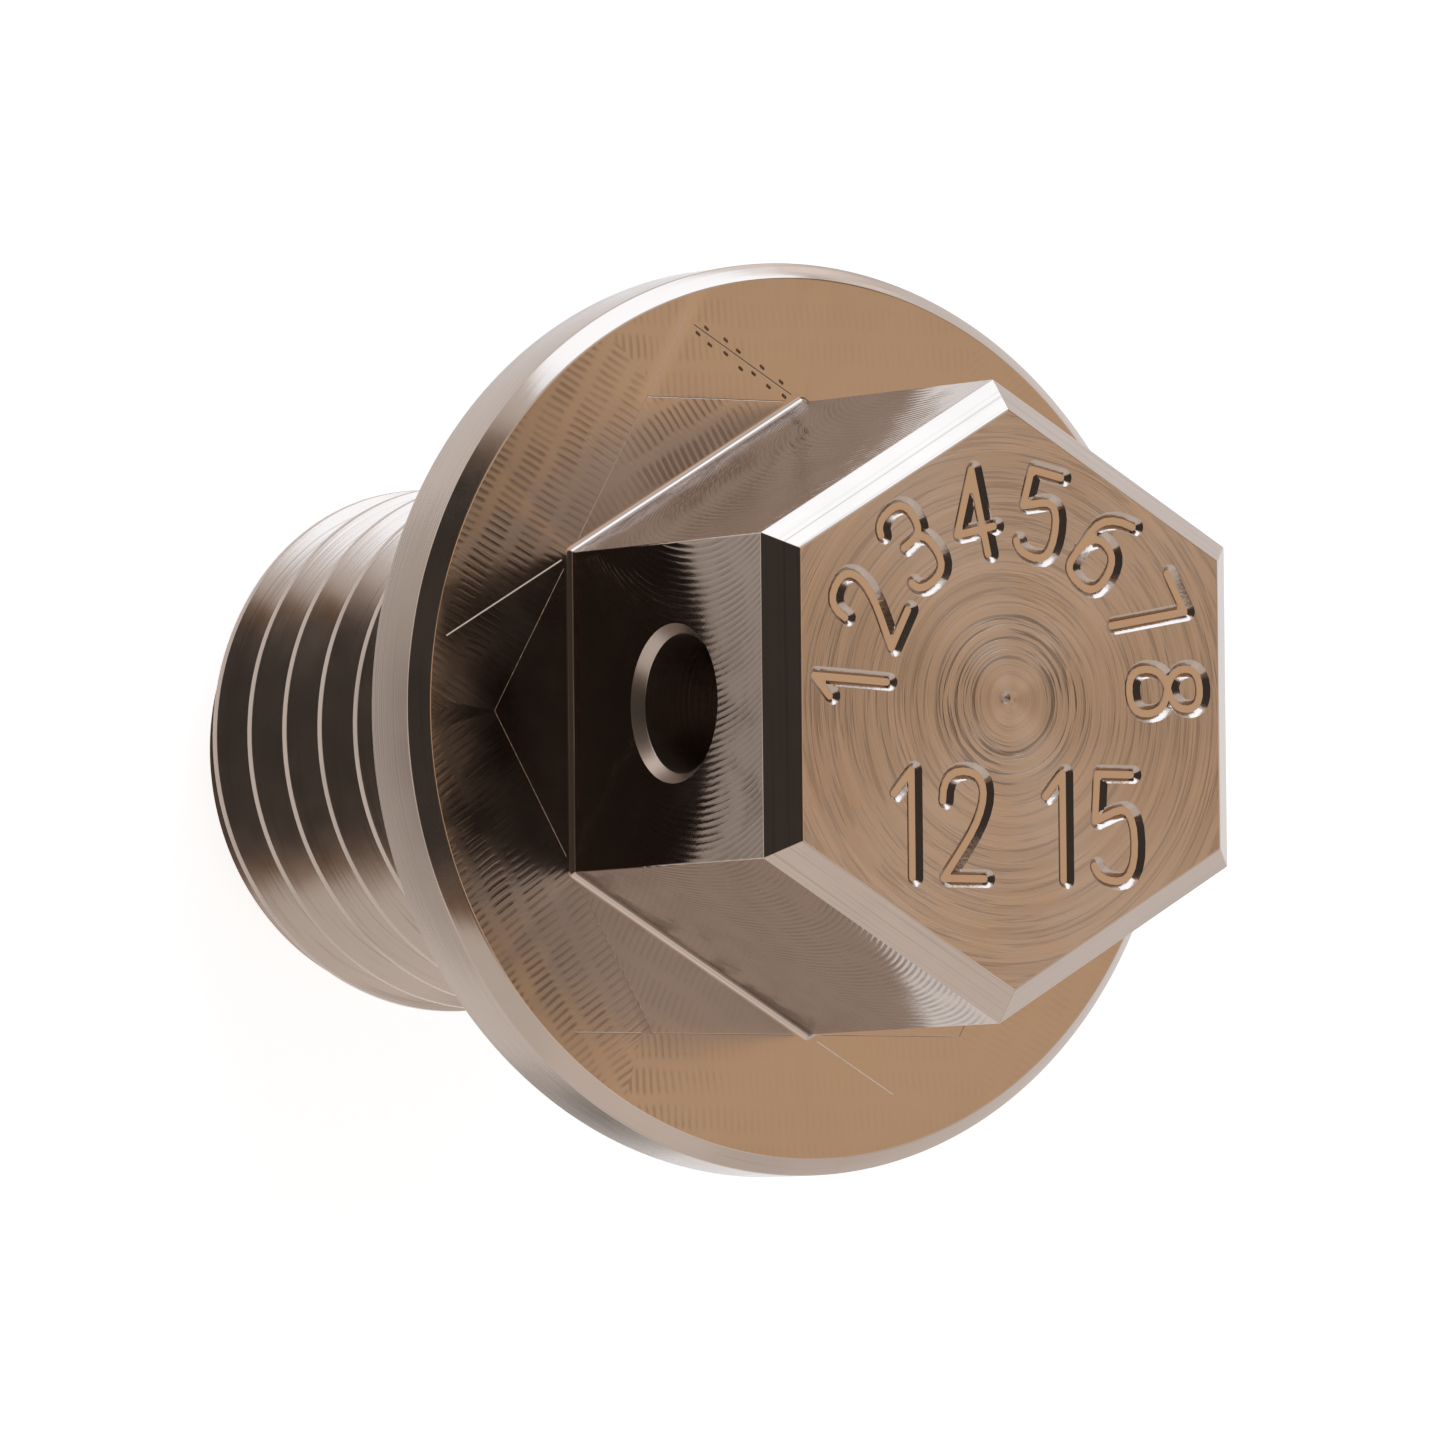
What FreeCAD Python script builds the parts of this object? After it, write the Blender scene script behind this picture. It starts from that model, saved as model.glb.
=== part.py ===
import FreeCAD, Part
import math
import os

os.makedirs("parts", exist_ok=True)

# An oil drain plug, turned and milled from one titanium bar. It stands on its threaded tip.
# Millimetres, +Z from the tip to the face of the hexagon, origin in the middle of the tip.

# Thread: nominal size, pitch and how far the tip reaches below the flange
thread_size = 12.0
thread_pitch = 1.5
thread_reach = 15.0
thread_undersize = 0.14
thread_start_angle = -75.0
tip_chamfer = 1.25

# Metric thread form: half the angle of its V, and the flats as shares of the pitch
flank_half_angle = 30.0
crest_flat_share = 1 / 8
root_flat_share = 1 / 6

# Relief neck between the thread and the flange, so that the flange seats on its washer
relief_turns = 1.5
relief_below_root = 0.15

# Flange that seats on the sealing washer
flange_diameter = 20.0
flange_thickness = 1.9
flange_front_chamfer = 0.35
flange_back_chamfer = 0.1

# Hexagon for the spanner, with a planar chamfer along each side of its face
hex_across_flats = 12.0
hex_height = 8.1
hex_chamfer = 0.6
hex_foot_fillet = 0.15
hex_sides = 6

# Cross hole for the locking wire, half way up the hexagon from its -X flat to its +X flat
wire_hole_diameter = 3.0
wire_hole_countersink = 0.22

# How far a cutter runs past the metal, and how close the thread's cutter comes to the flange
cutter_overrun = 0.1
runout_clearance = 0.15

# The thread's section: how much its flanks lean, its depth and its groove's width at the crests
flank_slope = math.tan(math.radians(flank_half_angle))
sharp_height = thread_pitch / (2 * flank_slope)
thread_depth = sharp_height * (1 - crest_flat_share - root_flat_share)
groove_width = thread_pitch * (1 - crest_flat_share)

# Radii of the shank and heights along the axis
crest_radius = (thread_size - thread_undersize) / 2
root_radius = crest_radius - thread_depth
relief_radius = root_radius - relief_below_root
relief_bottom = thread_reach - relief_turns * thread_pitch
flange_top = thread_reach + flange_thickness
flange_radius = flange_diameter / 2

Y_AXIS = FreeCAD.Vector(0, 1, 0)
Z_AXIS = FreeCAD.Vector(0, 0, 1)
ORIGIN = FreeCAD.Vector(0, 0, 0)


def in_section(radius, height):
    return FreeCAD.Vector(radius, 0, height)


def turned(outline):
    """A solid of revolution about the axis, from the corners of its half section."""
    corners = [in_section(radius, height) for radius, height in outline]
    return Part.Face(Part.makePolygon(corners + corners[:1])).revolve(ORIGIN, Z_AXIS, 360)


def thread_groove():
    """The 60 degree groove of a right-hand thread, as a solid swept up the shank."""
    outer_radius = crest_radius + cutter_overrun
    outer_half = groove_width / 2 + cutter_overrun * flank_slope
    root_half = groove_width / 2 - thread_depth * flank_slope
    start = -thread_pitch
    end = thread_reach - runout_clearance - outer_half
    path = Part.makeHelix(thread_pitch, end - start, root_radius)
    path.translate(FreeCAD.Vector(0, 0, start))
    section = Part.makePolygon(
        [
            in_section(root_radius, start - root_half),
            in_section(outer_radius, start - outer_half),
            in_section(outer_radius, start + outer_half),
            in_section(root_radius, start + root_half),
            in_section(root_radius, start - root_half),
        ]
    )
    groove = Part.Wire(path).makePipeShell([section], True, True)
    groove.rotate(ORIGIN, Z_AXIS, thread_start_angle)
    return groove


def threaded_shank():
    """The shank up to the flange: a grooved rod, turned down at its tip and at its relief neck."""
    rod = Part.makeCylinder(crest_radius, thread_reach)
    turned_down = turned(
        [
            (0, 0),
            (crest_radius - tip_chamfer, 0),
            (crest_radius, tip_chamfer),
            (crest_radius, relief_bottom - (crest_radius - relief_radius)),
            (relief_radius, relief_bottom),
            (relief_radius, thread_reach),
            (0, thread_reach),
        ]
    )
    return rod.cut(thread_groove()).common(turned_down)


def flange():
    """The round flange, with a chamfer on the side of the head and a broken edge behind."""
    return turned(
        [
            (0, thread_reach),
            (flange_radius - flange_back_chamfer, thread_reach),
            (flange_radius, thread_reach + flange_back_chamfer),
            (flange_radius, flange_top - flange_front_chamfer),
            (flange_radius - flange_front_chamfer, flange_top),
            (0, flange_top),
        ]
    )


def hexagon_head():
    """The milled head, with corners on the Y axis and a planar chamfer along each front edge."""
    corner_radius = hex_across_flats / 2 / math.cos(math.pi / hex_sides)
    corners = []
    for k in range(hex_sides):
        angle = 2 * math.pi * k / hex_sides
        x = -corner_radius * math.sin(angle)
        y = corner_radius * math.cos(angle)
        corners.append(FreeCAD.Vector(x, y, flange_top))
    outline = Part.makePolygon(corners + corners[:1])
    head = Part.Face(outline).extrude(FreeCAD.Vector(0, 0, hex_height))
    front_edges = [edge for edge in head.Edges if min(v.Z for v in edge.Vertexes) > flange_top]
    return head.makeChamfer(hex_chamfer, front_edges)


def wire_hole():
    """The cross hole with a small countersink at both flats."""
    half = hex_across_flats / 2
    radius = wire_hole_diameter / 2
    mouth = radius + wire_hole_countersink
    drill = turned(
        [
            (0, -half - cutter_overrun),
            (mouth + cutter_overrun, -half - cutter_overrun),
            (radius, -half + wire_hole_countersink),
            (radius, half - wire_hole_countersink),
            (mouth + cutter_overrun, half + cutter_overrun),
            (0, half + cutter_overrun),
        ]
    )
    drill.rotate(ORIGIN, Y_AXIS, 90)
    drill.translate(FreeCAD.Vector(0, 0, flange_top + hex_height / 2))
    return drill


def filleted_foot(body):
    """The body with the fillet that the end mill leaves where the flats of the hexagon meet the flange."""
    def at_foot(edge):
        return all(abs(vertex.Z - flange_top) < cutter_overrun for vertex in edge.Vertexes)

    straight_edges = [edge for edge in body.Edges if len(edge.Vertexes) == 2 and at_foot(edge)]
    return body.makeFillet(hex_foot_fillet, straight_edges)


plug = threaded_shank().fuse([flange(), hexagon_head()]).removeSplitter()
plug = filleted_foot(plug).cut(wire_hole())
plug.exportStep("parts/drain_plug.step")
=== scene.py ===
# %% [markdown]
# # An oil drain plug, turned and milled from a titanium bar
# A drain plug closes the oil sump of an engine. This one is a single piece: a threaded shank, a round
# flange that presses on a washer, and a hexagon for the spanner, drilled across for a locking wire.
# Its solid gives the sizes. What is built here is a finer skin over the same form, with the small edge
# rounds, cutter marks and engraving that catch the light, and then the metal itself.

# %% Load the frame
import math

import bmesh
import bpy
import numpy as np
from mathutils import Matrix, Vector, geometry


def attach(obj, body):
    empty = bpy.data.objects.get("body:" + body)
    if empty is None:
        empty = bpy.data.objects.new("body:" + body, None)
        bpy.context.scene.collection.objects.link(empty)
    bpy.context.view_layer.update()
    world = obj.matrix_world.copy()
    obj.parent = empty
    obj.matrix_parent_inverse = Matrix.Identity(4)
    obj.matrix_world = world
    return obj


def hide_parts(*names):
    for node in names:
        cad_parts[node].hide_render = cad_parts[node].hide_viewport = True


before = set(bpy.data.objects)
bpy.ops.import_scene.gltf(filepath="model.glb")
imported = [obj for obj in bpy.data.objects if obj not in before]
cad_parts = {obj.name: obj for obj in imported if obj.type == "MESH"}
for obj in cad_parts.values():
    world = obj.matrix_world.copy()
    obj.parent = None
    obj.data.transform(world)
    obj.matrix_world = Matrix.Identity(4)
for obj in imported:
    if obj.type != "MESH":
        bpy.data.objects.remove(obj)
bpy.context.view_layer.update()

MM = 0.001

# %% [markdown]
# ## Sizes
# The piece is made in millimetres, as on the bench, and turned to metres when its mesh is written.
# Heights run up the axis from the threaded tip, and angles are in degrees, round the axis from +X.

# %% Sizes in millimetres
PITCH = 1.5
CREST_RADIUS = 5.93
THREAD_DEPTH = 0.92
TIP_RADIUS = 4.68
NECK_RADIUS = 4.86
NECK_BOTTOM = 12.75
FLANGE_BOTTOM = 15.0
FLANGE_TOP = 16.9
FLANGE_RADIUS = 10.0
FRONT_CHAMFER = 0.35
BACK_CHAMFER = 0.1
APOTHEM = 6.0
HEX_CHAMFER = 0.6
HEX_FILLET = 0.15
FACE_TOP = 25.0
HOLE_HEIGHT = (FLANGE_TOP + FACE_TOP) / 2
HOLE_RADIUS = 1.5
HOLE_SINK = 0.22
EDGE_ROUND = 0.04
WORN_ROUND = 0.08

# %% [markdown]
# ## The finishes
# One bar gives one metal, but each tool leaves its own surface. Every mesh gets the same list of
# finishes from the start, so that a face keeps its finish when two bodies are joined.

# %% Name the finishes
FINISHES = {name: bpy.data.materials.new(name + "_titanium")
            for name in ("turned", "threaded", "face_turned", "side_milled", "chamfer_milled",
                         "step_milled", "drilled", "engraved")}
ZONE = {name: number for number, name in enumerate(FINISHES)}
print("finishes:", ", ".join(FINISHES))

# %% [markdown]
# ## Rounded profiles and skins
# A cut edge is never perfectly sharp: a round of a few hundredths of a millimetre gives the bright
# line along it. `rounded` puts such arcs into the corners of a profile. `skin` then lays faces over
# a stack of rings, as a lathe or a loft would.

# %% Profiles and skins
def rounded(corners, step=20):
    """corners are (reach, height, radius). Each inner corner becomes an arc, whose points are at most step
    degrees apart."""
    places = [Vector(corner[:2]) for corner in corners]
    line = [places[0]]
    for before, here, after, corner in zip(places, places[1:], places[2:], corners[1:]):
        back, on = (before - here).normalized(), (after - here).normalized()
        half = back.angle(on) / 2
        turn = math.pi - 2 * half
        centre = here + (back + on).normalized() * corner[2] / math.sin(half)
        start, end = (here + side * corner[2] / math.tan(half) - centre for side in (back, on))
        if not corner[2]:
            line.append(here)
            continue
        count = max(1, math.ceil(math.degrees(turn) / step))
        for share in (i / count for i in range(count + 1)):
            first, second = math.sin((1 - share) * turn), math.sin(share * turn)
            line.append(centre + (start * first + end * second) / math.sin(turn))
    return line + [places[-1]]


def circle(radius, height, count=256):
    turns = (2 * math.pi * i / count for i in range(count))
    return [(radius * math.cos(a), radius * math.sin(a), height) for a in turns]


def skin(rings, close_first=False, close_last=False):
    """The vertices and faces over rings of equal length, each above the one before."""
    count = len(rings[0])
    faces = []
    for base in range(0, (len(rings) - 1) * count, count):
        for i in range(count):
            j = (i + 1) % count
            faces.append((base + i, base + j, base + count + j, base + count + i))
    if close_first:
        faces.append(tuple(range(count))[::-1])
    if close_last:
        faces.append(tuple(range((len(rings) - 1) * count, len(rings) * count)))
    return [vertex for ring in rings for vertex in ring], faces


def body(name, parts):
    """A closed object from (vertices, faces, zone) parts in millimetres, whose meeting edges are welded."""
    form = bmesh.new()
    for vertices, faces, zone in parts:
        made = [form.verts.new(vertex) for vertex in vertices]
        for face in faces:
            form.faces.new([made[i] for i in face]).material_index = ZONE[zone]
    bmesh.ops.remove_doubles(form, verts=form.verts, dist=1e-4)
    bmesh.ops.scale(form, vec=(MM, MM, MM), verts=form.verts)
    mesh = bpy.data.meshes.new(name)
    form.to_mesh(mesh)
    open_edges = sum(not edge.is_manifold for edge in form.edges)
    print(name, len(mesh.vertices), "vertices,", open_edges, "open edges, volume",
          round(form.calc_volume() / MM ** 3, 2), "mm3")
    form.free()
    for finish in FINISHES.values():
        mesh.materials.append(finish)
    made = bpy.data.objects.new(name, mesh)
    bpy.context.scene.collection.objects.link(made)
    return made

# %% [markdown]
# ## The thread
# A metric thread is one groove wound round the bar. A texture can't give its outline or its shadows,
# so the groove is real: a grid whose rows follow the 60 degree section and whose columns climb one
# pitch in each turn. The rod runs past both ends, and the turned shank trims it later.

# %% Wind the thread
TURN_STEPS = 144
TURNS = 14
TURNS_BELOW = 3
THREAD_START = -75.0
ROOT_HALF = PITCH / 12
GROOVE_HALF = PITCH * 7 / 16
CREST_ROUND = 0.03
ROOT_ROUND = 0.06
ROOT_RADIUS = CREST_RADIUS - THREAD_DEPTH


def thread_rod():
    section = rounded([(CREST_RADIUS, -PITCH / 2, 0), (CREST_RADIUS, -GROOVE_HALF, CREST_ROUND),
                       (ROOT_RADIUS, -ROOT_HALF, ROOT_ROUND), (ROOT_RADIUS, ROOT_HALF, ROOT_ROUND),
                       (CREST_RADIUS, GROOVE_HALF, CREST_ROUND), (CREST_RADIUS, PITCH / 2, 0)])[:-1]
    columns = TURNS * TURN_STEPS + 1
    rows = len(section)

    def place(column, radius, height):
        turn = column / TURN_STEPS
        angle = 2 * math.pi * turn + math.radians(THREAD_START)
        return (radius * math.cos(angle), radius * math.sin(angle), height + (turn - TURNS_BELOW) * PITCH)

    vertices = [place(column, *section[row]) for column in range(columns) for row in range(rows)]
    top_edge = len(vertices)
    vertices += [place(column + TURN_STEPS, *section[0])
                 for column in range(columns - TURN_STEPS, columns)]

    def at(column, row):
        if row < rows:
            return column * rows + row
        above = column + TURN_STEPS
        return above * rows if above < columns else top_edge + above - columns

    faces = [(at(c, r), at(c + 1, r), at(c + 1, r + 1), at(c, r + 1))
             for c in range(columns - 1) for r in range(rows)]
    first_rim = [at(0, r) for r in range(rows)] + [at(c, 0) for c in range(TURN_STEPS, -1, -1)][:-1]
    last_rim = [at(columns - 1, r) for r in range(rows, -1, -1)]
    last_rim += [at(c, rows) for c in range(columns - TURN_STEPS, columns - 1)]
    low, high = len(vertices), len(vertices) + 1
    vertices += [(0, 0, -(TURNS_BELOW + 0.5) * PITCH), (0, 0, (TURNS - TURNS_BELOW + 0.5) * PITCH)]
    for rim, tip in ((first_rim, low), (last_rim, high)):
        faces += [(tip, a, b) for a, b in zip(rim, rim[1:] + rim[:1])]
    return vertices, faces


rod = body("thread_rod", [(*thread_rod(), "threaded")])

# %% Turn the shank that trims it
TRIM_RADIUS = CREST_RADIUS + 0.3
NECK_ROUND = 0.3
CAP_STEP = 1
OVERLAP = 0.5
shank_line = rounded([(TIP_RADIUS - CAP_STEP, 0, 0), (TIP_RADIUS, 0, EDGE_ROUND),
                      (TRIM_RADIUS, TRIM_RADIUS - TIP_RADIUS, 0),
                      (TRIM_RADIUS, NECK_BOTTOM - TRIM_RADIUS + NECK_RADIUS, 0),
                      (NECK_RADIUS, NECK_BOTTOM, NECK_ROUND), (NECK_RADIUS, FLANGE_BOTTOM + OVERLAP, 0)])
shank = body("shank", [(*skin([circle(r, z) for r, z in shank_line], True, True), "turned")])

# %% [markdown]
# ## Cutter marks as lines in a flat face
# Each pass of an end mill over the flange ends in a faint line, and the numbers on the hexagon's face
# are narrow grooves. Both are made the same way: lines beside and along each stroke are laid into the
# face by a Delaunay triangulation, and then each vertex sinks by its distance from the nearest stroke.
# That needs no boolean, and crossing strokes join by themselves.

# %% Strokes in a flat face
BEND_STEP = 30
NO_AREA = 1e-8


def offset_line(line, reach):
    """The outline at one distance round an open line of points, with round ends and outer corners."""
    outline = []
    for way in (line, line[::-1]):
        for i, (a, b) in enumerate(zip(way, way[1:])):
            side = Vector((b.y - a.y, a.x - b.x)).normalized() * reach
            outline += [a + side, b + side]
            turn = math.pi
            if i + 2 < len(way):
                after = Vector((way[i + 2].y - b.y, b.x - way[i + 2].x))
                turn = math.atan2(side.x * after.y - side.y * after.x, side.dot(after))
            steps = int(turn / math.radians(BEND_STEP))
            outline += [b + Matrix.Rotation(turn * k / (steps + 1), 2) @ side for k in range(1, steps + 1)]
    return outline


def distances(points, lines):
    """How far each point is from the nearest of the lines."""
    points = np.array(points, float)
    nearest = np.full(len(points), np.inf)
    for line in lines:
        for a, b in zip(line, line[1:]):
            a, b = np.array(a), np.array(b)
            share = np.clip((points - a) @ (b - a) / max((b - a) @ (b - a), 1e-12), 0, 1)
            nearest = np.minimum(nearest, np.linalg.norm(points - a - share[:, None] * (b - a), axis=1))
    return nearest


def marked_face(outer, inner, height, *grooves):
    """Triangles between two closed outlines, with grooves. Each is (lines, section), and the section's
    points are (distance from the line, depth), from its middle to its edge."""
    loops = [[Vector(point[:2]) for point in loop] for loop in (outer, inner) if loop]
    points, edges = [], []
    for lines, section in grooves:
        loops += [offset_line(line, reach) for line in lines for reach, depth in section if reach]
        for line in lines:
            edges += [(len(points) + i, len(points) + i + 1) for i in range(len(line) - 1)]
            points += line
    for loop in loops:
        edges += [(len(points) + i, len(points) + (i + 1) % len(loop)) for i in range(len(loop))]
        points += loop
    points, _, faces, *_ = geometry.delaunay_2d_cdt(points, edges, [], 0, 1e-3)
    depths = [np.interp(distances(points, lines), *zip(*section)) for lines, section in grooves]
    sunk = np.max(depths, axis=0)
    vertices = [(point.x, point.y, height - depth) for point, depth in zip(points, sunk)]
    kept = []
    for face in faces:
        corners = [points[i] for i in face]
        middle = sum(corners, Vector((0, 0))) / 3
        if geometry.area_tri(*corners) > NO_AREA and not (inner and inside(middle, inner)):
            kept.append(tuple(face))
    return vertices, kept


def inside(point, loop):
    """Whether a point lies within a convex outline that runs anticlockwise."""
    sides = zip(loop, loop[1:] + loop[:1])
    return all((b[0] - a[0]) * (point.y - a[1]) > (b[1] - a[1]) * (point.x - a[0]) for a, b in sides)

# %% [markdown]
# ## The hexagon and the flange
# The flange is turned. The hexagon is milled from the same bar, six cuts across flats, and its face
# has one flat chamfer along each side. A stack of hexagons with hardly rounded corners gives the
# prism, the chamfers and the small fillet that the corner of the end mill leaves at its foot. The
# passes of the end mill touched the corners of the hexagon, and some of them ran on towards the rim.

# %% Lines that the passes of the end mill left on the flange
CORNER_RADIUS = APOTHEM / math.cos(math.pi / 6)
STAR_RADIUS = CORNER_RADIUS / math.cos(math.pi / 6)
STAR_GAP = 0.4
RUN_GAP = 0.3


def polar(radius, degrees):
    return Vector((radius * math.cos(math.radians(degrees)), radius * math.sin(math.radians(degrees))))


def star_lines(*corners):
    """The ends of the passes turned by 30 degrees. Each touches a corner of the hexagon, where it has a
    gap, and together they form a larger hexagon round it."""
    lines = []
    for degrees in corners:
        corner, along = polar(CORNER_RADIUS, degrees), polar(1, degrees + 90)
        half = CORNER_RADIUS * math.tan(math.pi / 6)
        lines += [[corner + along * side * STAR_GAP, corner + along * side * half] for side in (1, -1)]
    return lines


def run_on(radius, *ways):
    """The ends of passes that run on outwards from this radius. Each way is (angle, heading, length)."""
    return [[polar(radius, degrees) + polar(reach, heading) for reach in (RUN_GAP, length)]
            for degrees, heading, length in ways]


NICKS = ((0.4, 0.13), (0.62, -0.1), (0.85, 0.16), (1.2, -0.12), (1.32, 0.12), (1.66, 0.2), (1.9, -0.1),
         (2.15, 0.12), (2.3, -0.14), (2.6, 0.17), (2.85, -0.1), (2.98, 0.12))
NICK_LENGTH, NICK_HEADING = 0.08, 140


def nicks():
    """Nicks beside the line from the corner at 90 degrees, where the teeth of the cutter came in. Each is
    (reach along the line, distance beside it)."""
    corner, along, sideways = polar(CORNER_RADIUS, 90), polar(1, 150), polar(1, 240)
    feet = [corner + along * reach + sideways * side for reach, side in NICKS]
    return [[foot, foot + polar(NICK_LENGTH, NICK_HEADING)] for foot in feet]


# %% Make the head
CORNER_ROUND = 0.05


def hexagon(apothem, height):
    """A ring with rounded corners, whose sides are the same lines at every height inside the prism."""
    corner = CORNER_ROUND + max(0, apothem - APOTHEM)
    centre_radius = (apothem - corner) / math.cos(math.pi / 6)
    ring = []
    for side in range(6):
        for bend in (-30, -15, 0, 15, 30):
            point = polar(centre_radius, 60 * side + 30) + polar(corner, 60 * side + 30 + bend)
            ring.append((*point, height))
    return ring


flange_line = rounded([(NECK_RADIUS - CAP_STEP, FLANGE_BOTTOM, 0),
                       (FLANGE_RADIUS - BACK_CHAMFER, FLANGE_BOTTOM, EDGE_ROUND),
                       (FLANGE_RADIUS, FLANGE_BOTTOM + BACK_CHAMFER, EDGE_ROUND),
                       (FLANGE_RADIUS, FLANGE_TOP - FRONT_CHAMFER, WORN_ROUND),
                       (FLANGE_RADIUS - FRONT_CHAMFER, FLANGE_TOP, WORN_ROUND),
                       (APOTHEM, FLANGE_TOP, 0)], 10)[:-1]
head_line = rounded([(FLANGE_RADIUS, FLANGE_TOP, 0), (APOTHEM, FLANGE_TOP, HEX_FILLET),
                     (APOTHEM, FACE_TOP - HEX_CHAMFER, EDGE_ROUND),
                     (APOTHEM - HEX_CHAMFER, FACE_TOP, WORN_ROUND), (0, FACE_TOP, 0)])[1:-1]
flange_rings = [circle(r, z) for r, z in flange_line]
head_rings = [hexagon(a, z) for a, z in head_line]
print("flange rings", len(flange_rings), "hexagon rings", len(head_rings))

# %% [markdown]
# ## Plain numbers in the hexagon's face
# Such plugs are engraved on a small mill, whose cutter follows a single line for each stroke. This one
# has plain numbers: 1 to 8 round the centre, and the thread's size and reach, 12 and 15, below.
# Each stroke is a quadratic B-spline that a few points guide, and a point given twice makes a corner.

# %% Draw the numbers
STROKES = {
    "1": [(.14, .78), (.4, 1), (.4, 1), (.4, 0)],
    "2": [(0, .72), (0, 1), (.6, 1), (.6, .6), (0, 0), (0, 0), (.6, 0)],
    "3": [(0, .84), (.04, 1), (.6, 1), (.6, .54), (.2, .54), (.2, .54), (.62, .54), (.62, 0), (.02, 0),
          (0, .16)],
    "4": [(.44, 0), (.44, 1), (.44, 1), (0, .3), (0, .3), (.62, .3)],
    "5": [(.56, 1), (.06, 1), (.06, 1), (.02, .56), (.02, .56), (.6, .74), (.62, 0), (.06, 0), (0, .14)],
    "6": [(.54, 1), (.06, .9), (0, .3), (0, 0), (.6, 0), (.6, .58), (.06, .62), (0, .3)],
    "7": [(0, 1), (.6, 1), (.6, 1), (.2, 0)],
    "8": [(.3, .54), (.02, .6), (.02, 1), (.58, 1), (.58, .6), (0, .5), (-.02, 0), (.62, 0), (.6, .5),
          (.3, .54)],
}
ARC_RADIUS, ARC_HEIGHT, ARC_WIDTH = 3.15, 1.85, 1.55
ARC_START, ARC_STEP = 177, 24.7
ROW_FOOT, ROW_HEIGHT, ROW_WIDTH = -3.85, 2.3, 1.75
ROW_PLACES = (-2.7, -1.2, 1.2, 2.7)
# The sections of the grooves: (distance from the line, depth)
STROKE_SECTION = ((0, 0.12), (0.08, 0.115), (0.16, 0.025), (0.2, 0))
PIP_SECTION = ((0, 0.06), (0.05, 0.045), (0.13, 0))
STAR_SECTION = ((0, 0.008), (0.012, 0))
FAINT_SECTION = ((0, 0.004), (0.013, 0))
CORNER_SECTION = ((0, 0.007), (0.015, 0))
BROAD_SECTION = ((0, 0.009), (0.03, 0))
NICK_SECTION = ((0, 0.035), (0.015, 0.03), (0.035, 0))


def spline(points, steps=5):
    """A quadratic B-spline that starts and ends at the outer points, as a line of points."""
    points = [Vector(point) for point in points]
    line = [points[0]]
    for i in range(1, len(points) - 1):
        start = points[0] if i == 1 else (points[i - 1] + points[i]) / 2
        end = points[-1] if i == len(points) - 2 else (points[i] + points[i + 1]) / 2
        for share in (k / steps for k in range(1, steps + 1)):
            line.append(start * (1 - share) ** 2 + points[i] * 2 * share * (1 - share) + end * share ** 2)
    return [line[0]] + [b for a, b in zip(line, line[1:]) if (b - a).length > 1e-3]


def digit(symbol, place, width, height, turn=0):
    """The digit's stroke, its foot centred on place and its top turned from +Y by so many degrees."""
    return [Matrix.Rotation(math.radians(turn), 2) @ Vector(((x - .3) * width, y * height)) + place
            for x, y in spline(STROKES[symbol])]


numbers = []
for i, symbol in enumerate("12345678"):
    angle = ARC_START - ARC_STEP * i
    numbers.append(digit(symbol, polar(ARC_RADIUS, angle), ARC_WIDTH, ARC_HEIGHT, angle - 90))
for x, symbol in zip(ROW_PLACES, "1215"):
    numbers.append(digit(symbol, Vector((x, ROW_FOOT)), ROW_WIDTH, ROW_HEIGHT))
print("strokes", len(numbers), "points", sum(len(line) for line in numbers))

# %% Lay the faces and close the head
pip = [Vector((-0.2, 0.03)), Vector((-0.16, 0.05))]
faint_lines = star_lines(150) + run_on(STAR_RADIUS, (120, 60, 2.1), (240, 180, 2.0), (0, 300, 1.9))
corner_lines = run_on(CORNER_RADIUS, (90, 150, 3.2), (270, 330, 2.6), (30, 330, 3.0))
flange_face = marked_face(flange_rings[-1], head_rings[0], FLANGE_TOP,
                          (star_lines(30, 90, 210, 270, 330), STAR_SECTION), (faint_lines, FAINT_SECTION),
                          (corner_lines, CORNER_SECTION),
                          (run_on(CORNER_RADIUS, (150, 210, 3.7)), BROAD_SECTION), (nicks(), NICK_SECTION))
number_face = marked_face(head_rings[-1], None, FACE_TOP, (numbers, STROKE_SECTION), ([pip], PIP_SECTION))
head = body("drain_plug_skin", [
    (*skin(flange_rings, close_first=True), "turned"), (*flange_face, "step_milled"),
    (*skin(head_rings), "side_milled"), (*number_face, "face_turned")])

# %% [markdown]
# ## Join the bodies and drill the wire hole
# Boolean modifiers do what the machines did: the rod trimmed by the turned shank, the shank joined to
# the head, and the drill with its two countersinks taken out. All their surfaces cross at clear
# angles, which is what keeps a boolean clean.

# %% Join and drill
def combine(base, other, operation):
    cut = base.modifiers.new(operation, "BOOLEAN")
    cut.operation, cut.object, cut.solver = operation, other, "EXACT"
    mesh = bpy.data.meshes.new_from_object(base.evaluated_get(bpy.context.evaluated_depsgraph_get()))
    base.modifiers.clear()
    base.data = mesh
    bpy.data.objects.remove(other)
    print(operation, "leaves", len(mesh.polygons), "faces")


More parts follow.
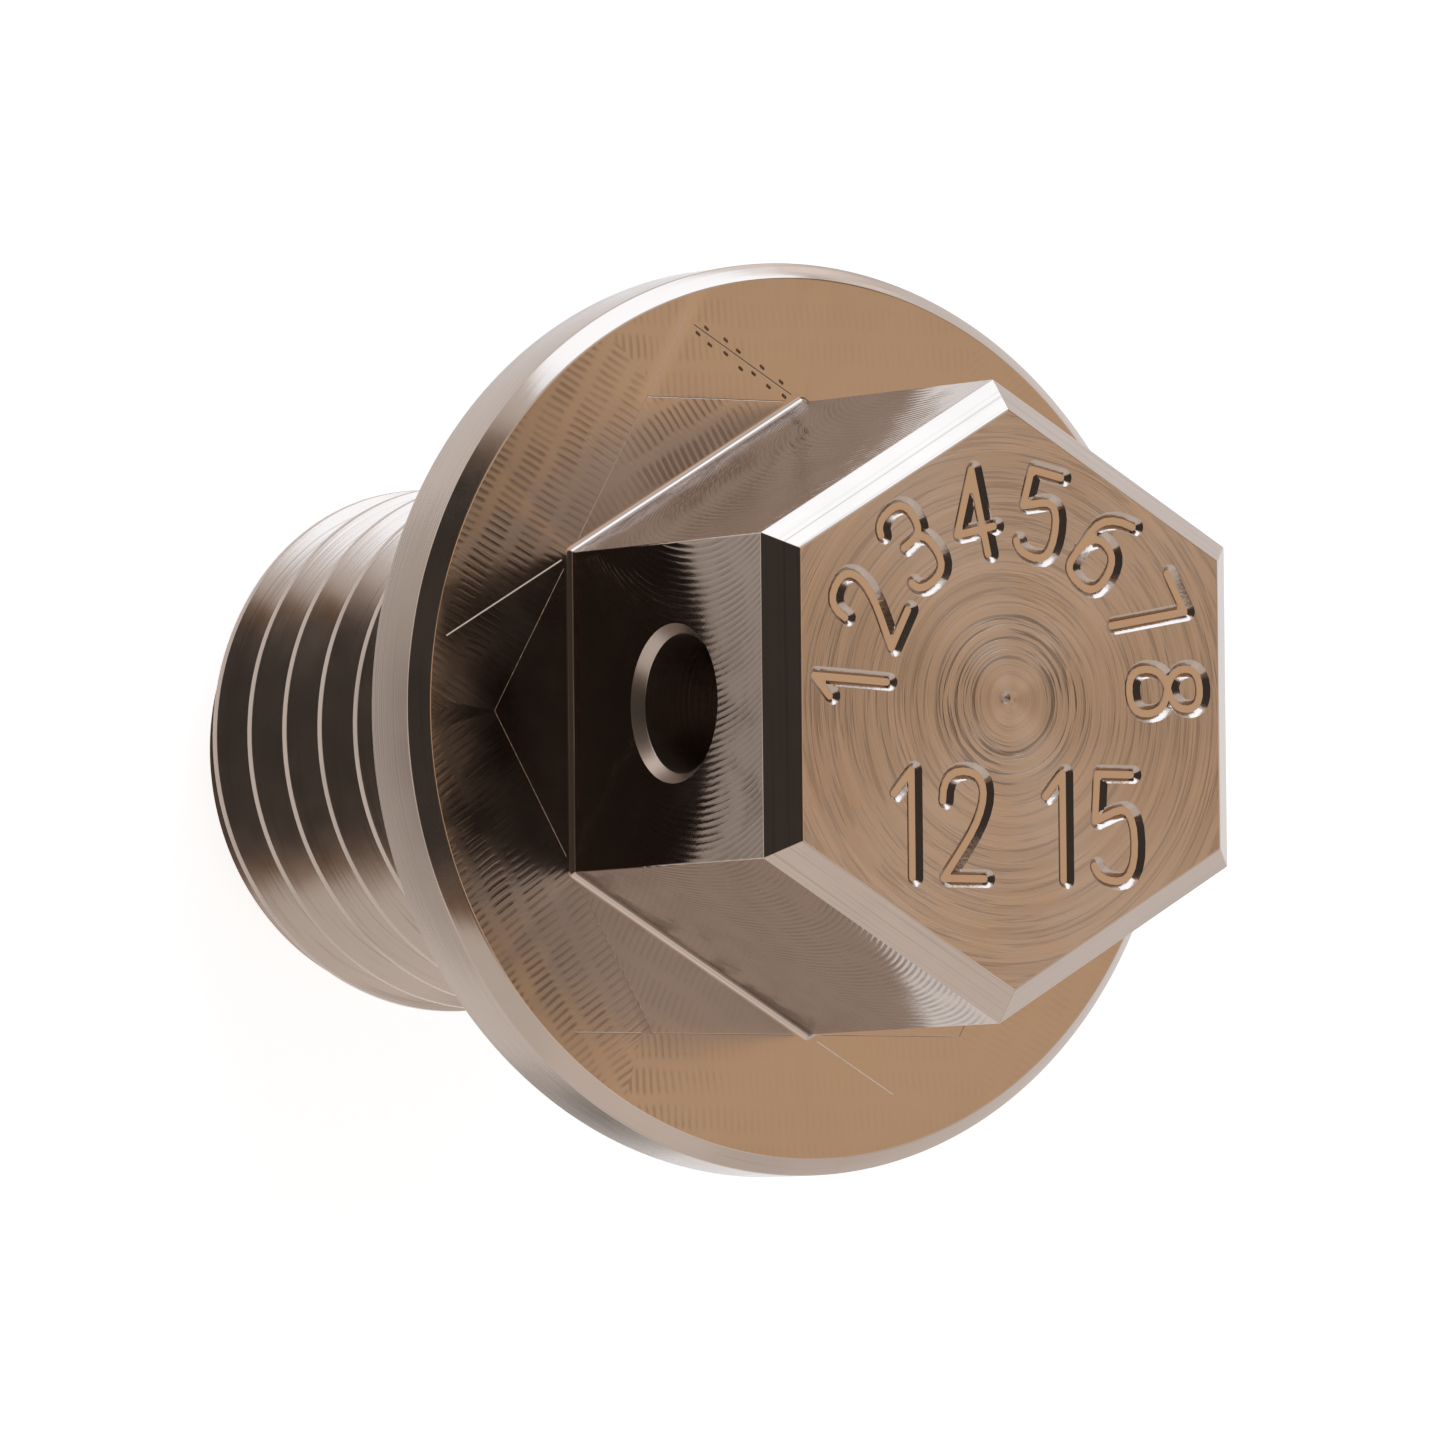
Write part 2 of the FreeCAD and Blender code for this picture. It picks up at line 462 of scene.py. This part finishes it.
DRILL_STEPS = 96
DRILL_OVERRUN = 1
DRILL_MOUTH = HOLE_RADIUS + HOLE_SINK + DRILL_OVERRUN
drill_line = rounded([(DRILL_MOUTH, -APOTHEM - DRILL_OVERRUN, 0),
                      (HOLE_RADIUS, HOLE_SINK - APOTHEM, EDGE_ROUND),
                      (HOLE_RADIUS, APOTHEM - HOLE_SINK, EDGE_ROUND),
                      (DRILL_MOUTH, APOTHEM + DRILL_OVERRUN, 0)])
drill_rings = [[(x, y, z + HOLE_HEIGHT) for y, z, x in circle(r, reach, DRILL_STEPS)]
               for r, reach in drill_line]
drill = body("drill", [(*skin(drill_rings, True, True), "drilled")])
combine(shank, rod, "INTERSECT")
combine(head, shank, "UNION")
combine(head, drill, "DIFFERENCE")

# %% [markdown]
# ## Sort the faces and map the milled ones
# The chamfers and fillets round the hexagon were cut by another tool than its flats, and the grooves of
# the numbers by a third, so their faces change finish here. So do the pass lines and the nicks on the
# flange. They are also shaded flat, since smooth shading would hide walls of a few micrometres. The
# milled faces get a UV map in millimetres: across and along the cutter's marks on the flange, sideways
# and upwards on each flat. With the real size in the map, each pattern can be given in millimetres.

# %% Sort and map
SHARP_ANGLE = 28
LINE_DEPTH, NICK_DEPTH = 0.001, 0.01
PIP_REACH = 1
LEVEL = 0.05

plug = head
plug.name = plug.data.name = "drain_plug_machined"
plug.data.set_sharp_from_angle(angle=math.radians(SHARP_ANGLE))
plug.data.shade_smooth()
marks = plug.data.uv_layers.new(name="machining")


def pass_heading(place):
    """The direction, in degrees, that the cutter's marks run in at this place on the flange."""
    reach, angle = place.length, math.degrees(math.atan2(place.y, place.x))
    near_corner = 60 * round((angle - 30) / 60) + 30
    if reach * math.cos(math.radians(angle - near_corner)) > CORNER_RADIUS:
        return near_corner
    return 60 * round(angle / 60)


for face in plug.data.polygons:
    middle, normal = face.center / MM, face.normal
    kind = list(ZONE)[face.material_index]
    depth = FLANGE_TOP - middle.z
    if kind == "side_milled" and abs(normal.z) > LEVEL:
        face.material_index = ZONE["chamfer_milled"]
    elif kind == "step_milled" and depth > LINE_DEPTH:
        face.material_index = ZONE["turned" if depth < NICK_DEPTH else "engraved"]
        face.use_smooth = False
    elif kind == "face_turned" and middle.z < FACE_TOP - LINE_DEPTH and middle.xy.length > PIP_REACH:
        face.material_index = ZONE["engraved"]
    elif kind in ("side_milled", "step_milled"):
        on_flange = kind == "step_milled"
        heading = pass_heading(middle.xy) if on_flange else math.degrees(math.atan2(normal.y, normal.x))
        outwards, sideways = polar(1, heading), polar(1, heading + 90)
        for corner in face.loop_indices:
            vertex = plug.data.vertices[plug.data.loops[corner].vertex_index].co / MM
            along = vertex.xy.dot(outwards) if on_flange else vertex.z - FLANGE_TOP
            marks.data[corner].uv = (vertex.xy.dot(sideways), along)
even = plug.modifiers.new("even_flats", "WEIGHTED_NORMAL")
even.keep_sharp = True
even.weight = 100
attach(plug, "root")
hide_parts("drain_plug")
print("faces by finish:", {name: sum(f.material_index == number for f in plug.data.polygons)
                           for name, number in ZONE.items()})

# %% [markdown]
# ## The metal
# The bar is titanium alloy, a warm grey metal that is a little darker than steel. It is left bare, so
# most of its colour comes from what it mirrors, and each finish differs in the fine relief that its tool
# left. That relief goes into a Bump node with its height in real micrometres. A painted brown shade
# stands in the deeper scores and draws them as fine dark lines.

# %% Colours and nodes
TITANIUM = "AD9C90"
# the dark brown of the painted shade in scores and grooves
SHADE_BROWN = "5A5049"


def linear(code, strength=1):
    """An sRGB hex colour as the linear colour that the shader takes, times a strength."""
    shares = [int(code[i:i + 2], 16) / 255 for i in (0, 2, 4)]
    parts = [x / 12.92 if x <= 0.04045 else ((x + 0.055) / 1.055) ** 2.4 for x in shares]
    return [x * strength for x in parts] + [1]


def add(tree, kind, sockets=(), **settings):
    """Adds a node. sockets says what goes into its inputs, by name or in their order: a value, or a node
    or an output, which is then linked."""
    made = tree.nodes.new(kind)
    for name, value in settings.items():
        setattr(made, name, value)
    for name, value in sockets.items() if isinstance(sockets, dict) else enumerate(sockets):
        if isinstance(value, bpy.types.Node):
            value = value.outputs[0]
        if isinstance(value, bpy.types.NodeSocket):
            tree.links.new(value, made.inputs[name])
        else:
            made.inputs[name].default_value = value
    return made


def emptied(owner):
    """The node tree of a material or of the world, without its nodes."""
    owner.use_nodes = True
    owner.node_tree.nodes.clear()
    return owner.node_tree


print("bare metal in linear colour:", [round(x, 3) for x in linear(TITANIUM)])

# %% Start and end of a finish
def start(name):
    """An empty tree for a finish, with the place in mm, the height and the distance from the axis."""
    print("finish:", FINISHES[name].name)
    tree = emptied(FINISHES[name])
    metres = add(tree, "ShaderNodeTexCoord").outputs["Object"]
    place = add(tree, "ShaderNodeVectorMath", {0: metres, "Scale": 1 / MM}, operation="SCALE")
    height = add(tree, "ShaderNodeSeparateXYZ", [place]).outputs["Z"]
    across = add(tree, "ShaderNodeVectorMath", (place, (1, 1, 0)), operation="MULTIPLY")
    radius = add(tree, "ShaderNodeVectorMath", [across], operation="LENGTH").outputs["Value"]
    return tree, place, height, radius


def close(tree, place, height, microns, roughness, polish=0.05, painted_shade=0.0, grain=None):
    """Ends a finish: bare metal whose relief is height times so many micrometres, and whose roughness
    varies by polish. Where the share of painted shade is 1, a score is painted dark brown, as shade. grain
    adds the settings for metal that is brushed one way."""
    clouds = add(tree, "ShaderNodeTexNoise", {"Vector": place, "Scale": 0.8, "Detail": 3})
    bare = {"Factor": clouds, "A": linear(TITANIUM, 0.93), "B": linear(TITANIUM, 1.06)}
    bare = add(tree, "ShaderNodeMix", bare, data_type="RGBA").outputs["Result"]
    # painted shade: this share turns the bare metal dark brown
    tint = {"Factor": painted_shade, "A": bare, "B": linear(SHADE_BROWN)}
    tint = add(tree, "ShaderNodeMix", tint, data_type="RGBA").outputs["Result"]
    relief = add(tree, "ShaderNodeBump", {"Height": height, "Distance": microns * 1e-6, "Strength": 1.0})
    gloss = add(tree, "ShaderNodeMapRange", (clouds, 0.3, 0.7, roughness - polish, roughness + polish))
    metal = add(tree, "ShaderNodeBsdfPrincipled", {
        "Base Color": tint, "Metallic": 1.0, "Normal": relief, "Roughness": gloss, **(grain or {})})
    add(tree, "ShaderNodeOutputMaterial", {"Surface": metal})

# %% [markdown]
# ## What tools leave
# Two patterns serve for nearly all the finishes. Streaks are noise that is squeezed across the way
# the tool went and stretched along it. A ripple is a sine with one wave in each feed. Neither is even
# over a whole face, so shares that depend on the place make it stronger or fainter. Lines that lie
# closer than about 0.05 mm would not show, so finer ones are drawn that far apart.

# %% Patterns
def streaks(tree, place, along, spacing, length, detail=2):
    """Fine lines at right angles to the coordinate along, about spacing apart and length long, in mm."""
    slow = add(tree, "ShaderNodeVectorMath", {0: place, "Scale": 1 / length}, operation="SCALE")
    quick = add(tree, "ShaderNodeMath", (along, 1 / spacing), operation="MULTIPLY")
    offset = add(tree, "ShaderNodeCombineXYZ", (quick, quick))
    where = add(tree, "ShaderNodeVectorMath", (slow, offset), operation="ADD")
    return add(tree, "ShaderNodeTexNoise", {"Vector": where, "Scale": 1.0, "Detail": detail})


def ripple(tree, along, feed):
    """The even ripple that a tool leaves once in each feed, in mm."""
    phase = add(tree, "ShaderNodeMath", (along, 2 * math.pi / feed), operation="MULTIPLY")
    return add(tree, "ShaderNodeMath", [phase], operation="SINE")


def faded(tree, amount, *stretches):
    """An amount times one share for each stretch. A stretch is (value, low, high, share at low, share at
    high), and without shares it goes from 0 to 1."""
    for stretch in stretches:
        share = add(tree, "ShaderNodeMapRange", stretch)
        amount = add(tree, "ShaderNodeMath", (amount, share), operation="MULTIPLY")
    return amount

# %% [markdown]
# ## Turned faces
# A lathe tool leaves a fine spiral: rings on a face, lines round a rim. They follow the distance from
# the axis where the surface is flat and the height where it is upright, so one sum of both serves.
# The rings on the hexagon's face are bold near the centre, and they spread what it mirrors outwards
# from the centre, which is why the two sides of the face look darker than its top and bottom.

# %% Turned rim, chamfers, neck and underside
tree, place, height, radius = start("turned")
run = add(tree, "ShaderNodeMath", (radius, 0.7, height), operation="MULTIPLY_ADD")
lines = streaks(tree, place, run, 0.06, 6)
# painted shade in the deeper lines of the spiral
painted_shade = add(tree, "ShaderNodeMapRange", (lines, 0.58, 0.72, 0, 0.25))
close(tree, place, lines, 5, 0.17, painted_shade=painted_shade)

# %% Thread flanks
tree, place, height, radius = start("threaded")
lines = streaks(tree, place, radius, 0.07, 3)
# painted shade in the deeper lines of the thread
painted_shade = add(tree, "ShaderNodeMapRange", (lines, 0.55, 0.7, 0, 0.25))
close(tree, place, lines, 3, 0.22, painted_shade=painted_shade)

# %% The hexagon's face
tree, place, height, radius = start("face_turned")
fine = streaks(tree, place, radius, 0.06, 3)
bold = streaks(tree, place, radius, 0.11, 1.3)
near = faded(tree, 1.0, (radius, 0.8, 1.0, 0.2, 1.0), (radius, 1.7, 2.1, 1.0, 0.4))
scores = faded(tree, near, (bold, 0.51, 0.62))
bands = add(tree, "ShaderNodeMapRange", (streaks(tree, place, radius, 0.35, 9, 0), 0.4, 0.6, 0, 0.12))
# painted shade in the bold rings, plus faint broad rings of darker tone
painted_shade = add(tree, "ShaderNodeMath", (scores, 0.6, bands), operation="MULTIPLY_ADD")
rings = add(tree, "ShaderNodeMath", (fine, scores), operation="SUBTRACT")
round_centre = add(tree, "ShaderNodeTangent", direction_type="RADIAL", axis="Z")
close(tree, place, rings, 10, 0.32, painted_shade=painted_shade,
      grain={"Tangent": round_centre, "Anisotropic": 0.8, "Anisotropic Rotation": 0.25})

# %% [markdown]
# ## Milled faces
# The flats were cut with the end of a 10 mm end mill that stood on the flange and moved sideways, so
# its marks are arcs of 5 mm radius, one in each 0.15 mm of feed. The same cutter left rows of short
# strokes on the flange. They run straight out from the hexagon in twelve sectors, show as small dark
# dashes, hollows in the bump with painted shade in them, and stand out near the rim and where the
# cutter came in. Its last pass polished one narrow band there. Towards the left rim, painted shade
# makes the metal a little darker.

# %% Flats of the hexagon
MILL_RADIUS = 5.0
MILL_FEED = 0.15

tree, place, height, radius = start("side_milled")
flat = add(tree, "ShaderNodeSeparateXYZ", [add(tree, "ShaderNodeUVMap", uv_map="machining")])
rise = add(tree, "ShaderNodeMath", (flat.outputs["Y"], MILL_RADIUS), operation="SUBTRACT")
rise = add(tree, "ShaderNodeMath", (rise, 2.0), operation="POWER")
left = add(tree, "ShaderNodeMath", (MILL_RADIUS ** 2, rise), operation="SUBTRACT")
left = add(tree, "ShaderNodeMath", (left, 0.5), operation="POWER")
arc = add(tree, "ShaderNodeMath", (flat.outputs["X"], left), operation="SUBTRACT")
uneven = add(tree, "ShaderNodeTexNoise", {"Vector": place, "Scale": 1.3, "Detail": 2})
waves = faded(tree, ripple(tree, arc, MILL_FEED), (uneven, 0.35, 0.6, 0.3, 1.0))
scores = streaks(tree, place, arc, 0.05, 8)
relief = add(tree, "ShaderNodeMath", (scores, 0.8, waves), operation="MULTIPLY_ADD")
# painted shade in the troughs of the cutter's ripple
painted_shade = add(tree, "ShaderNodeMapRange", (waves, -0.2, -0.9, 0, 0.35))
close(tree, place, relief, 2.4, 0.10, 0.02, painted_shade)

# %% Chamfers of the hexagon
tree, place, height, radius = start("chamfer_milled")
lines = streaks(tree, place, height, 0.05, 8)
# painted shade in the deeper lines of the chamfers
painted_shade = add(tree, "ShaderNodeMapRange", (lines, 0.55, 0.7, 0, 0.3))
close(tree, place, lines, 4, 0.13, 0.03, painted_shade)

# %% Flange face: where the strokes are
MARK_SPACING = 0.18
ROW_SPACING = 0.8

tree, place, height, radius = start("step_milled")
stroke = add(tree, "ShaderNodeSeparateXYZ", [add(tree, "ShaderNodeUVMap", uv_map="machining")])
where = add(tree, "ShaderNodeSeparateXYZ", [place])
wander = add(tree, "ShaderNodeTexNoise", {"Vector": place, "Scale": 0.8, "Detail": 2})
row = add(tree, "ShaderNodeMath", (wander, 0.4, stroke.outputs["Y"]), operation="MULTIPLY_ADD")
shift = add(tree, "ShaderNodeTexNoise", {"Vector": place, "Scale": 0.9, "Detail": 0})
mark = add(tree, "ShaderNodeMath", (shift, 0.13, stroke.outputs["X"]), operation="MULTIPLY_ADD")
mark = add(tree, "ShaderNodeMath", (row, -0.08, mark), operation="MULTIPLY_ADD")
dashes = faded(tree, 1.0, (ripple(tree, mark, MARK_SPACING), -0.2, 0.9),
               (ripple(tree, row, ROW_SPACING), -0.9, 0.0))

# %% Flange face: uneven, strong at the left, at the rim and at the entry
ENTRY = (-3.0, 6.0, FLANGE_TOP)

uneven = add(tree, "ShaderNodeTexNoise", {"Vector": place, "Scale": 0.9, "Detail": 4})
strength = faded(tree, 1.0, (uneven, 0.35, 0.6, 0.3, 1.0),
                 (where.outputs["X"], -1.0, -5.0, 0.15, 1.0), (radius, 7.2, 8.4, 0.5, 1.0))
entry = add(tree, "ShaderNodeVectorMath", (place, ENTRY), operation="DISTANCE").outputs["Value"]
entry = faded(tree, 1.0, (entry, 2.4, 1.0), (where.outputs["Y"], 7.0, 6.9))
strength = add(tree, "ShaderNodeMath", (strength, entry), operation="MAXIMUM")
aside = add(tree, "ShaderNodeMath", [where.outputs["Y"]], operation="ABSOLUTE")
strength = faded(tree, strength, (aside, 1.0, 3.0, 0.3, 1.0))
dashes = add(tree, "ShaderNodeMath", (dashes, strength), operation="MULTIPLY")

# %% Flange face: the polished band and painted shade towards the left rim
BAND_NORMAL = (*polar(1, 150), 0)

band = add(tree, "ShaderNodeVectorMath", (place, BAND_NORMAL), operation="DOT_PRODUCT").outputs["Value"]
beside = add(tree, "ShaderNodeMath", (band, CORNER_RADIUS), operation="SUBTRACT")
beside = add(tree, "ShaderNodeMath", [beside], operation="ABSOLUTE")
polished = faded(tree, 1.0, (beside, 0.3, 0.1), (where.outputs["Y"], 6.2, 6.9))
unpolished = add(tree, "ShaderNodeMath", (1.0, polished), operation="SUBTRACT")
dashes = add(tree, "ShaderNodeMath", (dashes, unpolished), operation="MULTIPLY")
# painted shade, darker towards the left rim, except in the polished band
painted_left_shade = faded(tree, unpolished, (where.outputs["X"], -4.5, -8.5, 0.1, 0.6))
hollows = add(tree, "ShaderNodeMath", (dashes, -1.0), operation="MULTIPLY")
scores = streaks(tree, place, stroke.outputs["X"], 0.1, 1.5)
relief = add(tree, "ShaderNodeMath", (scores, 0.7, hollows), operation="MULTIPLY_ADD")
# painted shade in the dashes and towards the left rim
painted_shade = add(tree, "ShaderNodeMath", (dashes, 0.33, painted_left_shade), operation="MULTIPLY_ADD")
close(tree, place, relief, 5, 0.22, painted_shade=painted_shade)

# %% [markdown]
# ## Drilled and engraved faces
# A drill leaves rings round the hole and a rougher skin than the other tools, so the hole mirrors
# little and looks dark. The grooves of the numbers are smooth, but their upright walls are painted dark
# brown as shade, and the gentle slopes beside them stay bright, which makes the numbers easy to read.

# %% Drilled hole
tree, place, height, radius = start("drilled")
depth = add(tree, "ShaderNodeSeparateXYZ", [place]).outputs["X"]
close(tree, place, streaks(tree, place, depth, 0.09, 2), 4, 0.34)

# %% Engraved grooves
tree, place, height, radius = start("engraved")
facing = add(tree, "ShaderNodeNewGeometry").outputs["True Normal"]
upwards = add(tree, "ShaderNodeSeparateXYZ", [facing]).outputs["Z"]
# painted shade on the upright walls of the grooves
painted_shade = add(tree, "ShaderNodeMapRange", (upwards, 0.6, 0.3, 0, 0.9))
close(tree, place, add(tree, "ShaderNodeTexNoise", {"Vector": place, "Scale": 12.0}), 3, 0.17, painted_shade=painted_shade)

# %% [markdown]
# ## Floor, cards and lamps
# Bare metal is only as good as what it mirrors. The floor and the world are white, also to the metal.
# Photographers hang cards round such a part, so that its form can be read. Here a dark card at the left
# turns some faces deep brown, and a warm card above gives the faces that look up their golden tone.
# Sheets on the floor, some grey and some bright, do the same for the faces that look sideways or down.
# The large grey one at the left is a painted shadow on the floor, and the small one darkens the floor in
# front.
# A broad lamp gives the white chamfer. Only the metal sees the cards and the papers.

# %% Floor and world
WHITE = "FFFFFF"
PAPER_WHITE = "F4F4F4"
FLOOR_WIDTH = 1.6
FLOOR_GLOW = 0.7
AIR_LIGHT, AIR_GLOW = 0.35, 0.65


def rectangle(width, height):
    x, y = width / 2, height / 2
    return [(-x, -y), (x, -y), (x, y), (-x, y)]


def sheet(name, outline, centre, facing):
    """A flat sheet on the stage, turned to face a point. Its attribute edge runs from 0 in the middle to
    1 at the outline."""
    mesh = bpy.data.meshes.new(name)
    count = len(outline)
    mesh.from_pydata([(0, 0, 0)] + [(x, y, 0) for x, y in outline], [],
                     [(0, i + 1, (i + 1) % count + 1) for i in range(count)])
    mesh.attributes.new("edge", "FLOAT", "POINT").data.foreach_set("value", [0.0] + [1.0] * count)
    made = bpy.data.objects.new(name, mesh)
    made.location = centre
    made.rotation_euler = (Vector(facing) - Vector(centre)).to_track_quat("Z", "Y").to_euler()
    bpy.context.scene.collection.objects.link(made)
    print(name, "at", [round(x / MM, 1) for x in made.location], "mm")
    return made


def seen_white(tree, shader, strength):
    """Adds white light to a shader, but only for what the camera, a mirror or glass sees."""
    path = add(tree, "ShaderNodeLightPath").outputs
    seen = 0.0
    for ray in ("Is Camera Ray", "Is Glossy Ray", "Is Transmission Ray"):
        seen = add(tree, "ShaderNodeMath", (seen, path[ray]), operation="MAXIMUM")
    power = add(tree, "ShaderNodeMath", (seen, strength), operation="MULTIPLY")
    glow = add(tree, "ShaderNodeEmission", {"Color": linear(WHITE), "Strength": power})
    return add(tree, "ShaderNodeAddShader", (shader, glow))


floor = sheet("floor", rectangle(FLOOR_WIDTH, FLOOR_WIDTH), (0, 0, 0), (0, 0, 1))
paper = bpy.data.materials.new("white_paper")
tree = emptied(paper)
matt = add(tree, "ShaderNodeBsdfDiffuse", {"Color": linear(PAPER_WHITE)})
add(tree, "ShaderNodeOutputMaterial", {"Surface": seen_white(tree, matt, FLOOR_GLOW)})
floor.data.materials.append(paper)

world = bpy.data.worlds.new("studio")
bpy.context.scene.world = world
tree = emptied(world)
air = add(tree, "ShaderNodeBackground", {"Color": linear(WHITE), "Strength": AIR_LIGHT})
add(tree, "ShaderNodeOutputWorld", {"Surface": seen_white(tree, air, AIR_GLOW)})

# %% Cards, papers and lamps
def direction(azimuth, elevation):
    a, e = math.radians(azimuth), math.radians(elevation)
    return Vector((math.cos(e) * math.cos(a), math.cos(e) * math.sin(a), math.sin(e)))


AIM = Vector((0, 0, 0.02))
PAPER_HEIGHT = 0.5


def card(name, outline, centre, facing, colour, edge_colour, soft_from=0.0, brightness=1.0):
    """A card that only the metal sees. From the share soft_from outwards its colour turns into
    edge_colour."""
    made = sheet(name, outline, centre, facing)
    made.visible_camera = made.visible_diffuse = made.visible_shadow = False
    finish = bpy.data.materials.new(name)
    tree = emptied(finish)
    edge = add(tree, "ShaderNodeAttribute", attribute_name="edge").outputs["Fac"]
    share = add(tree, "ShaderNodeMapRange", (edge, soft_from, 1.0))
    shade = {"Factor": share, "A": linear(colour), "B": linear(edge_colour)}
    shade = add(tree, "ShaderNodeMix", shade, data_type="RGBA").outputs["Result"]
    glow = add(tree, "ShaderNodeEmission", {"Color": shade, "Strength": brightness})
    add(tree, "ShaderNodeOutputMaterial", {"Surface": glow})
    made.data.materials.append(finish)


def lamp(name, azimuth, elevation, distance, width, height, brightness, colour=WHITE):
    """A soft lamp whose face, as the metal mirrors it, is brightness times white."""
    light = bpy.data.lights.new(name, "AREA")
    light.shape, light.size, light.size_y = "RECTANGLE", width, height
    light.energy = brightness * math.pi * width * height
    light.color = linear(colour)[:3]
    made = bpy.data.objects.new(name, light)
    made.location = AIM + direction(azimuth, elevation) * distance
    made.rotation_euler = (made.location - AIM).to_track_quat("Z", "Y").to_euler()
    bpy.context.scene.collection.objects.link(made)
    print(name, "at", [round(x / MM, 1) for x in made.location], "mm")


def on_floor(name, corners, *colours, **settings):
    """A card that lies just above the floor, from its corners in millimetres."""
    middle = sum((Vector(corner) for corner in corners), Vector((0, 0))) / len(corners)
    centre = Vector((*middle, PAPER_HEIGHT)) * MM
    outline = [(Vector(corner) - middle) * MM for corner in corners]
    card(name, outline, centre, centre + Vector((0, 0, 1)), *colours, **settings)


card("dark_card", [(0.07, 0.20), (-0.10, 0.20), (-0.49, -0.42), (0.47, -0.42)],
     AIM + direction(167, 58) * 0.25, AIM, "504D4B", "A88868", 0.62)
card("warm_card", rectangle(0.22, 0.30), AIM + direction(5, 57) * 0.30, AIM,
     "FFE3C1", "E8CCAE", brightness=1.12)
card("brown_card", rectangle(0.13, 0.13), AIM + direction(42, 34) * 0.30, AIM, "8A6A4C", "B89878")
# a grey sheet that only the metal sees: a painted shadow on the floor at the left
on_floor("left_floor_shadow_sheet", [(-35, -18), (-13, -18), (-13, 14), (-35, 14)], "B0ACAA", PAPER_WHITE)
# a grey sheet that only the metal sees, which darkens the floor in front
on_floor("front_grey_sheet", [(-6, -25), (5, -25), (5, -13), (-6, -13)], "8C8886", PAPER_WHITE)
on_floor("bright_paper", [(60, 85), (110, 110), (150, 230), (70, 250), (50, 130)],
         WHITE, WHITE, brightness=1.7)
on_floor("left_paper", [(-30, 50), (-200, 60), (-250, 250), (-20, 250)], WHITE, WHITE, brightness=1.6)
on_floor("near_paper", [(7.5, 4), (20, 4), (20, 13.5), (7.5, 13.5)], WHITE, WHITE, brightness=1.4)
lamp("strip_right", 81, 14.5, 0.30, 0.27, 0.172, 2.48, "C5E3FF")
lamp("strip_left", -90, 18, 0.30, 0.18, 0.14, 0.12)
lamp("top_right", 55, 60, 0.35, 0.16, 0.16, 0.22, "ECF4FF")
lamp("top_left", -64, 60, 0.35, 0.20, 0.20, 0.35, "ECF4FF")

# %% [markdown]
# ## Camera
# The camera stands where the photographer's did: above the plug and to its left, a third of a metre
# away with a very long lens, so that the hexagon's face and one flank of the thread both show.

# %% Camera
CAMERA_PLACE = (-186.952, -17.629, 300.964)
CAMERA_TURN = (3.3204, -33.0102, -0.6546)
LENS, SENSOR_WIDTH = 389.34, 36
NEAREST = 0.01

camera = bpy.data.objects.new("camera", bpy.data.cameras.new("camera"))
camera.data.lens, camera.data.sensor_width = LENS, SENSOR_WIDTH
camera.data.clip_start = NEAREST
camera.location = Vector(CAMERA_PLACE) * MM
camera.rotation_euler = [math.radians(angle) for angle in CAMERA_TURN]
bpy.context.scene.collection.objects.link(camera)
bpy.context.scene.camera = camera
bpy.context.scene.view_settings.view_transform = "Standard"
print("camera", round(camera.location.length / MM), "mm from the middle of the tip")
